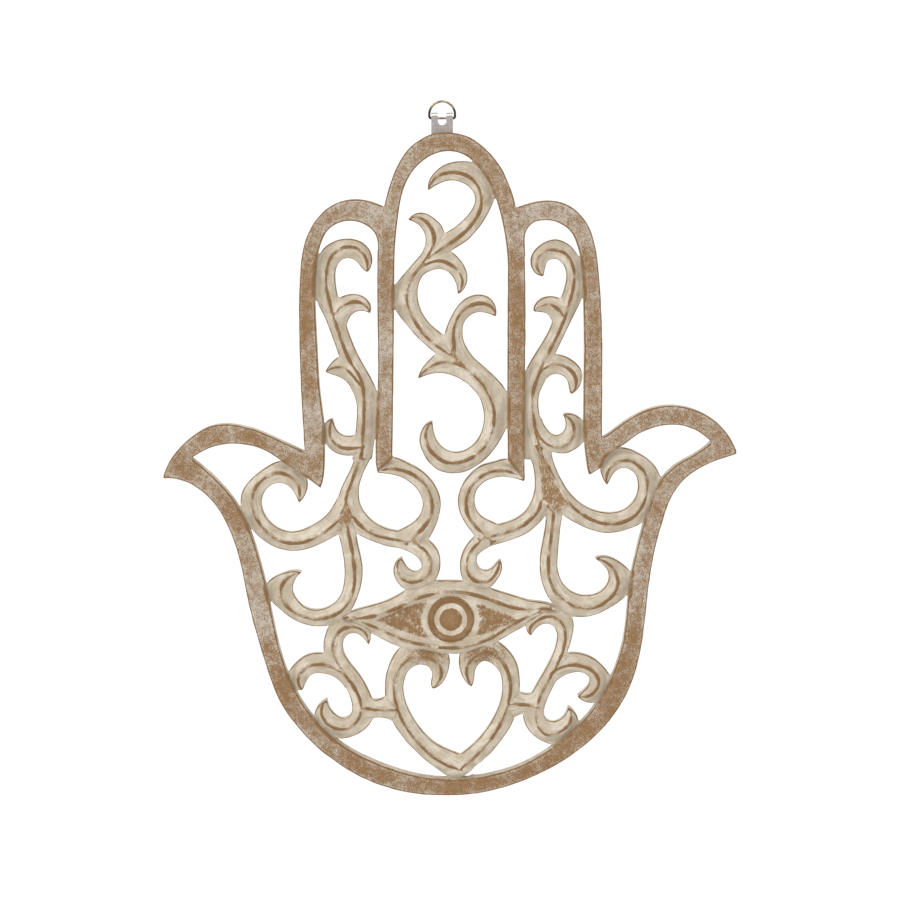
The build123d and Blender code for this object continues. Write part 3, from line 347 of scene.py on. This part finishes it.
class Layers:
    """A paint's nodes, joined up as the layers are laid one on another."""

    def __init__(self, name, roughness):
        self.material = bpy.data.materials.new(name)
        self.material.use_nodes = True
        self.tree = self.material.node_tree
        self.shader = self.tree.nodes["Principled BSDF"]
        self.shader.inputs["Roughness"].default_value = roughness
        self.shader.inputs["Specular IOR Level"].default_value = soft_sheen
        self.place = self.tree.nodes.new("ShaderNodeTexCoord").outputs["Object"]

    def join(self, value, socket):
        """A link where the value is a node's output, otherwise the plain value."""
        if isinstance(value, bpy.types.NodeSocket):
            self.tree.links.new(value, socket)
        else:
            socket.default_value = value

    def grain(self, size, detail=4.0, stretch=(1, 1, 1)):
        """Noise whose lumps are about that size in metres."""
        mapping = self.tree.nodes.new("ShaderNodeMapping")
        mapping.inputs["Scale"].default_value = stretch
        self.tree.links.new(self.place, mapping.inputs["Vector"])
        noise = self.tree.nodes.new("ShaderNodeTexNoise")
        noise.inputs["Scale"].default_value = 1 / size
        noise.inputs["Detail"].default_value = detail
        self.tree.links.new(mapping.outputs["Vector"], noise.inputs["Vector"])
        return noise.outputs["Fac"]

    def kept(self, name):
        """The number that the mesh keeps under that name."""
        node = self.tree.nodes.new("ShaderNodeAttribute")
        node.attribute_name = name
        return node.outputs["Fac"]

    def sum(self, operation, a, b, c=0.0):
        """One step of arithmetic."""
        node = self.tree.nodes.new("ShaderNodeMath")
        node.operation = operation
        for value, socket in zip((a, b, c), node.inputs):
            self.join(value, socket)
        return node.outputs[0]

    def step(self, value, start, end):
        """0 below start and 1 above end, smooth between."""
        node = self.tree.nodes.new("ShaderNodeMapRange")
        node.interpolation_type = "SMOOTHSTEP"
        self.join(value, node.inputs["Value"])
        node.inputs["From Min"].default_value = start
        node.inputs["From Max"].default_value = end
        return node.outputs["Result"]

    def flecks(self, size, start, end, amount=1.0, detail=4.0, stretch=(1, 1, 1)):
        """Noise of that size, as flecks of that amount: none below start, full above end."""
        full = self.step(self.grain(size, detail, stretch), start, end)
        return full if amount == 1 else self.sum("MULTIPLY", full, amount)

    def sway(self, size, swing, lift, detail=4.0, stretch=(1, 1, 1)):
        """Noise of that size, times the swing, plus the lift."""
        return self.sum("MULTIPLY_ADD", self.grain(size, detail, stretch), swing, lift)

    def added(self, first, *others):
        """All the values added up."""
        for value in others:
            first = self.sum("ADD", first, value)
        return first

    def over(self, amount, under, upper):
        """The upper colour laid over the under one by that amount."""
        node = self.tree.nodes.new("ShaderNodeMix")
        node.data_type = "RGBA"
        self.join(amount, node.inputs[0])
        self.join(under, node.inputs[6])
        self.join(upper, node.inputs[7])
        return node.outputs[2]

    def place_along(self, axis):
        """How far along that axis the surface lies."""
        node = self.tree.nodes.new("ShaderNodeSeparateXYZ")
        self.tree.links.new(self.place, node.inputs[0])
        return node.outputs[axis]

    def finish(self, colour):
        """The last layer is what shows."""
        self.tree.links.new(colour, self.shader.inputs["Base Color"])
        return self.material


# Streaks seven times as long across and up as they are deep, so that they follow the carving's level
# lines
brushed = (0.14, 1.0, 0.14)


def cream_coat(layers):
    """The wash itself, with clouds and streaks along the strokes, and painted light: palest in the
    hollows, to lift the shade that falls there.
    """
    coat = layers.over(layers.flecks(size=0.011, start=0.42, end=0.62), cream, pale_cream)
    streaks = layers.flecks(size=0.0011, start=0.50, end=0.66, amount=0.38, detail=5.0, stretch=brushed)
    coat = layers.over(streaks, coat, tan)
    thin = layers.flecks(size=0.0022, start=0.56, end=0.74, amount=0.3, detail=6.0)
    coat = layers.over(thin, coat, tan)
    specks = layers.flecks(size=0.0006, start=0.52, end=0.66, amount=0.3, detail=2.0)
    coat = layers.over(specks, coat, tan)
    return layers.over(layers.kept("hollow"), coat, painted_fill_cream)


halo_strength = 0.75


def rubbed(layers, coat, edge, nick_start, nick_end):
    """Brown wood shows through on ridges and edges, wider in some places than in others."""
    patchy = layers.flecks(size=0.0018, start=0.36, end=0.66, detail=6.0)
    halo = layers.sum("MULTIPLY", layers.kept("rubbed"), patchy)
    coat = layers.over(layers.sum("MULTIPLY", halo, halo_strength), coat, tan)
    ragged = layers.sway(size=0.0010, swing=1.7, lift=-0.85, stretch=brushed)
    width = layers.sway(size=0.009, swing=2.8, lift=-1.5, detail=3.0)
    worn = layers.step(layers.added(layers.kept("worn"), ragged, width), start=0.28, end=0.98)
    near_ridge = layers.step(layers.kept("worn"), start=0.05, end=0.4)
    brown = layers.over(layers.flecks(size=0.0014, start=0.4, end=0.6), deep_brown, raw_brown)
    coat = layers.over(layers.sum("MULTIPLY", worn, near_ridge), coat, brown)
    nicked = layers.added(layers.kept("arris"), layers.grain(size=0.0035))
    return layers.over(layers.step(nicked, nick_start, nick_end), coat, edge)


def bare_back(layers):
    """The unpainted back: faint darker clouds, and the pale fibres of the pressed board."""
    board = layers.over(layers.flecks(size=0.03, start=0.35, end=0.65), bare_board, dark_board)
    fibres = layers.flecks(size=0.0009, start=0.48, end=0.72, amount=0.6, detail=5.0)
    return layers.over(fibres, board, pale_fibre)


# Flecks a little longer up than across
upright = (1, 1, 0.7)


def carved_paint():
    """Cream wash, rubbed through on the ridges, with speckled brown where it is stained."""
    layers = Layers("carved cream wash", roughness=0.62)
    patches = layers.sway(size=0.0045, swing=0.9, lift=-0.45, detail=3.0)
    fine = layers.sway(size=0.0010, swing=1.6, lift=-0.3, stretch=upright)
    speckle = layers.step(layers.added(fine, patches, layers.kept("stain")), start=0.7, end=1.4)
    stained = layers.over(speckle, cream_coat(layers), raw_brown)
    colour = rubbed(layers, stained, arris_brown, nick_start=0.8, nick_end=1.35)
    return layers.finish(layers.over(layers.kept("back"), colour, bare_back(layers)))


def band_paint():
    """Tops rubbed down to a speckle of chalky wash and brown wood, and cream side walls."""
    layers = Layers("distressed band", roughness=0.7)
    patches = layers.sway(size=0.015, swing=1.0, lift=-0.5)
    lumps = layers.sway(size=0.0024, swing=0.8, lift=-0.4, detail=3.0)
    fine = layers.sway(size=0.00065, swing=1.8, lift=-1.0, detail=3.0)
    speckle = layers.step(layers.added(fine, lumps, patches, layers.kept("stain")), start=0.1, end=0.8)
    pits = layers.flecks(size=0.0011, start=0.56, end=0.66, amount=0.7, detail=2.0)
    top = layers.over(pits, layers.over(speckle, chalk, raw_brown), deep_brown)
    coat = layers.over(layers.kept("front"), cream_coat(layers), top)
    colour = rubbed(layers, coat, edge_brown, nick_start=0.45, nick_end=0.95)
    return layers.finish(layers.over(layers.kept("back"), colour, bare_back(layers)))


# The bands: the flat rims round fingers, thumbs and palm, in the board's own wood. They are sawn
# square, and the paper rubs their tops down harder than anything else.

band_voxel = 0.0006
band_rounds = 7
band_colour = band_paint()

# Where the paper went deeper or less deep than elsewhere, chosen after the photograph's tones:
# the place's middle across and up, its half width and half height, and how much less wash is left there
deeper_places = [
    (0.005, -0.413, 0.110, 0.030, 0.12), (0.100, -0.345, 0.025, 0.045, 0.22),
    (0.060, -0.399, 0.025, 0.020, 0.16), (-0.100, -0.341, 0.020, 0.020, 0.16),
    (0.045, -0.130, 0.012, 0.045, 0.14), (-0.082, -0.130, 0.012, 0.045, 0.14),
    (-0.078, -0.190, 0.015, 0.020, -0.18), (-0.034, -0.154, 0.012, 0.035, -0.14),
    (0.065, -0.064, 0.030, 0.020, -0.28), (-0.059, -0.064, 0.025, 0.020, -0.20),
    (-0.028, -0.052, 0.015, 0.015, -0.14), (-0.109, -0.303, 0.020, 0.025, -0.28),
    (0.121, -0.278, 0.020, 0.040, -0.16), (0.134, -0.187, 0.025, 0.020, -0.12),
]
usual_depth = 0.66
margin_reach = 0.0022
margin_wash = 0.20
margin_start = (0.05, 0.35)
margin = 1 - blurred((relief > 0).astype(float), margin_reach)


def depth_of_rub(points):
    """The usual depth, less along the margins, and a bell curve more or less at each place."""
    depth = usual_depth - margin_wash * eased(read(margin, points), *margin_start)
    for across, up, half_width, half_height, more in deeper_places:
        away = (points[:, [0, 2]] - (across, up)) / (half_width, half_height)
        depth += more * np.exp(-(away**2).sum(axis=1))
    return depth


for name in bands:
    carve(name, band_voxel, band_rounds, depth_of_rub, band_colour)

# The scrolls: strokes of the same wood, each gouged to two flanks that meet in a ridge. Flats are left
# where ridges part, and the paper takes those down to speckled brown.

scroll_voxel = 0.0005
scroll_rounds = 2
flat_height = 0.0112
flat_fade = 0.0003
flat_slope = (0.12, 0.35)
flat_brown = 0.75
scroll_colour = carved_paint()


def flats(points):
    """High places with hardly any slope."""
    level = 1 - eased(read(slope, points), *flat_slope)
    return flat_brown * level * eased(read(surface, points), flat_height - flat_fade, flat_height)


for name in scrolls:
    carve(name, scroll_voxel, scroll_rounds, flats, scroll_colour)

# The heart: two hooked strokes of the same wood, which meet at its point above the palm band. Its lobes
# are rubbed brown on top, and below its tip the wood is pared down to the band.

heart_low, heart_high = (np.array(corner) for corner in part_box("heart"))
heart_width = heart_high[0] - heart_low[0]
lobe_shares = (0.33, 0.73)
lobe_drop = 0.007
lobe_rub = 0.015
lobe_brown = 0.85


def lobe_stain(points):
    """Brown over the top of each lobe, fading out round it as a bell curve."""
    stain = flats(points)
    for across in lobe_shares:
        middle = np.array([heart_low[0] + across * heart_width, heart_high[2] - lobe_drop])
        away = np.linalg.norm((points[:, [0, 2]] - middle) / (lobe_rub, lobe_rub / 2), axis=1)
        stain = np.maximum(stain, lobe_brown * np.exp(-(away**2)))
    return stain


tip_height = -0.4016
tip_fade = 0.0008
foot_fall = 0.75
foot_edge_top = np.array([0.0294, -0.3928])
foot_edge_low = np.array([0.0150, -0.4049])
foot_left = 0.010
notch_height = -0.3963
notch_depth = 0.0022
notch_reach = 0.0020


def heart_tip(points):
    """Below the tip the wood falls towards the band, and its right edge is brought to one line.

    What stands beyond the line is put back on it, and a bell curve fills the notch short of it.
    """
    points = points.copy()
    below = np.maximum(tip_height - points[:, 2], 0)
    points[:, 1] = np.maximum(points[:, 1], heart_low[1] + foot_fall * below)
    along = foot_edge_low - foot_edge_top
    normal = np.array([-along[1], along[0]]) / np.linalg.norm(along)
    near = (points[:, 2] < foot_edge_top[1]) & (points[:, 0] > foot_left)
    beyond = (points[:, [0, 2]] - foot_edge_top) @ normal
    fill = notch_depth * np.exp(-(((points[:, 2] - notch_height) / notch_reach) ** 2))
    beyond = np.where(near, beyond, 0)
    out = np.where(near, fill * eased(beyond, -3 * notch_depth, -notch_depth), 0)
    points[:, [0, 2]] += (np.minimum(beyond + out, 0) - beyond)[:, None] * normal
    return points


def heart_rub(points):
    """The rub stops at the heart's tip."""
    return eased(points[:, 2], tip_height - tip_fade, tip_height)


carve(
    "heart", scroll_voxel, scroll_rounds, lobe_stain, scroll_colour,
    rub=heart_rub, trim=heart_tip,
)

# The eye: two lids round a hollowed white, in the same wood, with the iris cut as rings and the pupil
# as a dome. The pupil and the iris ring are rubbed to the wood, and so is the white but for its margin.

iris_middle = np.array([0.00524, -0.31031])
pupil_edge = (0.0066, 0.0072)
ring_inner_edge = (0.0095, 0.0102)
ring_outer_edge = (0.0136, 0.0148)
white_inner_edge = (0.0156, 0.0191)
white_lid_share = 0.22
white_brown = 0.8
white_middle = np.array([0.0030, -0.3107])
white_half_width = 0.0450
white_half_height = 0.0138


def eye_stain(points):
    """Brown by rings round the iris' middle, and over the white away from the lids."""
    away = np.linalg.norm(points[:, [0, 2]] - iris_middle, axis=1)
    pupil = 1 - eased(away, *pupil_edge)
    ring = eased(away, *ring_inner_edge) * (1 - eased(away, *ring_outer_edge))
    across, up = ((points[:, [0, 2]] - white_middle) / (white_half_width, white_half_height)).T
    inside = 1 - across**2 - np.abs(up)
    white = eased(away, *white_inner_edge) * eased(inside, 0, white_lid_share)
    return np.maximum(np.maximum(pupil, ring), white_brown * white)


# Where the rub along the lids stops, at both corners of the eye and at a gap below the iris: the place
# across and up, and how far it reaches
lid_stops = [
    (-0.0592, -0.3066, 0.0026), (-0.0504, -0.3118, 0.0022), (-0.0046, -0.3264, 0.0030),
    (0.0680, -0.3026, 0.0026),
]


def lid_rub(points):
    """1, falling to 0 between a stop's reach and half of it."""
    rub = np.ones(len(points))
    for across, up, reach in lid_stops:
        away = np.linalg.norm(points[:, [0, 2]] - (across, up), axis=1)
        rub *= eased(away, reach * 0.5, reach)
    return rub


carve("eye", scroll_voxel, scroll_rounds, eye_stain, scroll_colour, rub=lid_rub)

# The hanger strap: a strip of zinc plated sheet steel folded double round the ring's bar, with the
# notch in its fold, its cut edges just broken.

fold_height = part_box("hanger_strap")[1][2]
fold_crest = 0.0004
crest_fade = 0.0001
fold_highlight = 0.0016
highlight_fade = 0.0002
dark_zinc = (0.34, 0.315, 0.30, 1)
pale_zinc = (0.41, 0.385, 0.37, 1)
# Painted light: a painted highlight in a band below the fold, and a painted dark reflection along its
# crest
painted_highlight_zinc = (0.80, 0.77, 0.75, 1)
painted_dark_reflection_zinc = (0.14, 0.13, 0.14, 1)


def plated_sheet():
    """Grey zinc with a faint spangle, with a painted highlight below the fold and a painted dark
    reflection along its crest.
    """
    layers = Layers("zinc plated sheet", roughness=0.42)
    layers.shader.inputs["Metallic"].default_value = 1.0
    spangle = layers.flecks(size=0.0012, start=0.35, end=0.65, detail=3.0)
    height = layers.place_along("Z")
    highlight_low = fold_height - fold_highlight
    highlight = layers.step(height, highlight_low - highlight_fade, highlight_low)
    coat = layers.over(highlight, layers.over(spangle, dark_zinc, pale_zinc), painted_highlight_zinc)
    crest_low = fold_height - fold_crest
    crest = layers.step(height, crest_low - crest_fade, crest_low)
    return layers.finish(layers.over(crest, coat, painted_dark_reflection_zinc))


plated = plated_sheet()
strap_edge = 0.00012
sharp_turn = math.radians(40)

strap = bpy.data.objects.new("folded_strap", mesh_of("folded_strap", corners_of("hanger_strap")))
bpy.context.scene.collection.objects.link(strap)
broken = strap.modifiers.new("broken edges", "BEVEL")
broken.width = strap_edge
broken.segments = 2
broken.limit_method = "ANGLE"
broken.angle_limit = sharp_turn
broken.harden_normals = True
strap.data.materials.append(plated)
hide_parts("hanger_strap")
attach(strap, "panel")

# The ring: one D of brass plated steel wire, bent cold, with its two cut ends butted in the bar. The
# bar lies loose in the strap's fold, and the ring swings there.

ring_low, ring_high = (np.array(corner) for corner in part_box("hanger_ring"))
wire_radius = (ring_high[1] - ring_low[1]) / 2
ring_reach = (ring_high[0] - ring_low[0]) / 2 - wire_radius
bar_height = ring_low[2] + wire_radius
bow_height = ring_high[2] - wire_radius - ring_reach
bend_radius = 0.00114
butt_gap = 0.0001
around = 24
bow_steps = 48
bend_steps = 12
dark_brass = (0.25, 0.19, 0.12, 1)
pale_brass = (0.48, 0.38, 0.25, 1)
# Painted light: a painted dark reflection, nearly black, low on the legs and along the bow's sides
painted_dark_reflection_brass = (0.05, 0.038, 0.03, 1)
dark_reflection_rise = (0.002, 0.006)
dark_reflection_inset = (0.004, 0.002)


def ring_path():
    """Half the bar, a bend, a leg, the bow as a half circle, and the same back to the bar."""
    turn = np.linspace(0, np.pi / 2, bend_steps)
    bend_x = ring_reach - bend_radius + bend_radius * np.sin(turn)
    bend_z = bar_height + bend_radius - bend_radius * np.cos(turn)
    sweep = np.linspace(0, np.pi, bow_steps)
    bow_x = ring_reach * np.cos(sweep)
    bow_z = bow_height + ring_reach * np.sin(sweep)
    x = np.concatenate([[butt_gap / 2], bend_x, bow_x, -bend_x[::-1], [-butt_gap / 2]])
    z = np.concatenate([[bar_height], bend_z, bow_z, bend_z[::-1], [bar_height]])
    return np.stack([x, np.zeros_like(x), z], axis=1)


def joined(name, rings, turned_over=False):
    """Rings of points, each joined to the next by a row of faces, and closed at both ends.

    They are turned over where the rings run the other way round, so that every face points outwards.
    """
    count = rings.shape[1]
    rows, columns = np.meshgrid(np.arange(len(rings) - 1), np.arange(count), indexing="ij")
    here = rows * count + columns
    beyond = rows * count + (columns + 1) % count
    quads = np.stack([here, beyond, beyond + count, here + count], axis=-1).reshape(-1, 4)
    last = (len(rings) - 1) * count
    ends = np.array([np.arange(count)[::-1], np.arange(last, last + count)])
    if turned_over:
        quads = quads[:, [0, 3, 2, 1]]
        ends = ends[:, ::-1]
    mesh = bpy.data.meshes.new(name)
    mesh.from_pydata(rings.reshape(-1, 3), [], quads.tolist() + ends.tolist())
    mesh.shade_smooth()
    return mesh


def tube(path, radius, count):
    """The rings of a round section carried along a path in the XZ plane, square to it."""
    along = np.gradient(path, axis=0)
    along /= np.linalg.norm(along, axis=1, keepdims=True)
    beside = np.cross(along, (0, 1, 0))
    angle = np.linspace(0, 2 * np.pi, count, endpoint=False)
    section = np.cos(angle)[:, None] * np.array([0, 1, 0]) + np.sin(angle)[:, None] * beside[:, None]
    return path[:, None] + radius * section


def brassed_wire():
    """Brass plating, mottled, with painted dark reflections nearly black along the legs and the bow's
    sides.
    """
    layers = Layers("brass plating with painted reflections", roughness=0.28)
    layers.shader.inputs["Metallic"].default_value = 1.0
    mottle = layers.flecks(size=0.0016, start=0.4, end=0.6, detail=3.0)
    coat = layers.over(mottle, dark_brass, pale_brass)
    up = layers.step(layers.place_along("Z"), *(bow_height + rise for rise in dark_reflection_rise))
    low = layers.sum("SUBTRACT", 1.0, up)
    aside = layers.sum("ABSOLUTE", layers.place_along("X"), 0.0)
    beside = layers.step(aside, *(ring_reach - inset for inset in dark_reflection_inset))
    return layers.finish(layers.over(layers.sum("MULTIPLY", low, beside), coat, painted_dark_reflection_brass))


ring = bpy.data.objects.new("wire_ring", joined("wire_ring", tube(ring_path(), wire_radius, around)))
bpy.context.scene.collection.objects.link(ring)
ring.data.materials.append(brassed_wire())
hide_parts("hanger_ring")
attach(ring, "ring")

# The screw: a short pan head wood screw of zinc plated steel with a cross recess, turned through the
# strap into the board's back.

screw_low, screw_high = (np.array(corner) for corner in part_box("hanger_screw"))
screw_axis = (screw_low + screw_high) / 2
head_radius = (screw_high[0] - screw_low[0]) / 2
head_height = 0.0017
dome_share = 0.85
recess_arm = 0.0017
recess_half_width = 0.00035
recess_depth = 0.0009
recess_slope = 0.0002
recess_end = 0.0004
head_rows = 40
head_columns = 96
shank_radius = 0.0015
point_length = 0.003
point_share = 0.02


def screw_head():
    """A shallow dome over a short rim, from its middle outwards, sunk along a cross in its middle."""
    share = np.linspace(0, 1, head_rows)[:, None]
    angle = np.linspace(0, 2 * np.pi, head_columns, endpoint=False)
    radius = np.minimum(share / dome_share, 1) * head_radius
    dome = np.sqrt(np.maximum(1 - (radius / head_radius) ** 2, 0)) * head_height / 2
    rim = np.maximum(share - dome_share, 0) / (1 - dome_share) * head_height / 2
    x, z = radius * np.cos(angle), radius * np.sin(angle)
    long_side = np.maximum(np.abs(x), np.abs(z))
    short_side = np.minimum(np.abs(x), np.abs(z))
    cut = 1 - eased(short_side, recess_half_width, recess_half_width + recess_slope)
    cut *= 1 - eased(long_side, recess_arm - recess_end, recess_arm)
    y = screw_high[1] - head_height / 2 + dome - rim - cut * recess_depth
    return np.stack([screw_axis[0] + x, y, screw_axis[2] + z], axis=-1)


def screw_body(head):
    """Three rings below the head: the neck, the end of the shank, and the point."""
    centre = screw_axis * (1, 0, 1)
    shank = (head[-1] * (1, 0, 1) - centre) * shank_radius / head_radius + centre
    point = shank * point_share + centre * (1 - point_share)
    neck = shank + (0, head[-1, 0, 1], 0)
    shank_end = shank + (0, screw_low[1] + point_length, 0)
    return np.stack([neck, shank_end, point + (0, screw_low[1], 0)])


head = screw_head()
screw_rings = np.concatenate([head, screw_body(head)])
screw = bpy.data.objects.new("wood_screw", joined("wood_screw", screw_rings, turned_over=True))
bpy.context.scene.collection.objects.link(screw)
screw.data.materials.append(plated)
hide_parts("hanger_screw")
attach(screw, "panel")

# The studio: a pale floor far below the hanging board, a white room, and a soft light from the upper
# left. The camera looks a little down on the board, at the angle that the photograph shows.

floor_drop = 0.75
floor_half = 30.0
floor_white = (0.98, 0.98, 0.98, 1)
floor_roughness = 0.9
room_white = (1, 1, 1, 1)
room_strength = 1.08
lamp_place = np.array([-0.95, -1.45, 0.9])
lamp_size = 1.4
lamp_power = 12
low, high = cad_box
floor_height = low[2] - floor_drop
floor_mesh = bpy.data.meshes.new("floor")
floor_mesh.from_pydata(
    [
        (-floor_half, -floor_half, floor_height), (floor_half, -floor_half, floor_height),
        (floor_half, floor_half, floor_height), (-floor_half, floor_half, floor_height),
    ],
    [], [(0, 1, 2, 3)],
)
floor = bpy.data.objects.new("floor", floor_mesh)
bpy.context.scene.collection.objects.link(floor)
pale = bpy.data.materials.new("pale floor")
pale.use_nodes = True
pale.node_tree.nodes["Principled BSDF"].inputs["Base Color"].default_value = floor_white
pale.node_tree.nodes["Principled BSDF"].inputs["Roughness"].default_value = floor_roughness
floor_mesh.materials.append(pale)

room = bpy.data.worlds.new("white room")
room.use_nodes = True
room.node_tree.nodes["Background"].inputs["Color"].default_value = room_white
room.node_tree.nodes["Background"].inputs["Strength"].default_value = room_strength
bpy.context.scene.world = room
bpy.context.scene.view_settings.view_transform = "Standard"

lamp = bpy.data.lights.new("key", "AREA")
lamp.size = lamp_size
lamp.energy = lamp_power
lamp_holder = bpy.data.objects.new("key", lamp)
bpy.context.scene.collection.objects.link(lamp_holder)
lamp_holder.location = lamp_place
towards = (np.array(low) + np.array(high)) / 2 - lamp_place
turn = math.atan2(towards[0], -towards[1])
rise = math.atan2(towards[2], math.hypot(towards[0], towards[1]))
lamp_holder.rotation_euler = (math.pi / 2 + rise, 0, math.pi + turn)

picture_width = 0.5398
camera_distance = 1.9
camera_pitch = math.radians(5.5)
film_width = 36
aim_across = 0.0047
aim_height = -0.2073
camera_data = bpy.data.cameras.new("camera")
camera_data.sensor_width = film_width
camera_data.lens = film_width * camera_distance / picture_width
camera = bpy.data.objects.new("camera", camera_data)
bpy.context.scene.collection.objects.link(camera)
camera.location = (
    aim_across,
    board_low[1] - camera_distance * math.cos(camera_pitch),
    aim_height + camera_distance * math.sin(camera_pitch),
)
camera.rotation_euler = (math.pi / 2 - camera_pitch, 0, 0)
bpy.context.scene.camera = camera
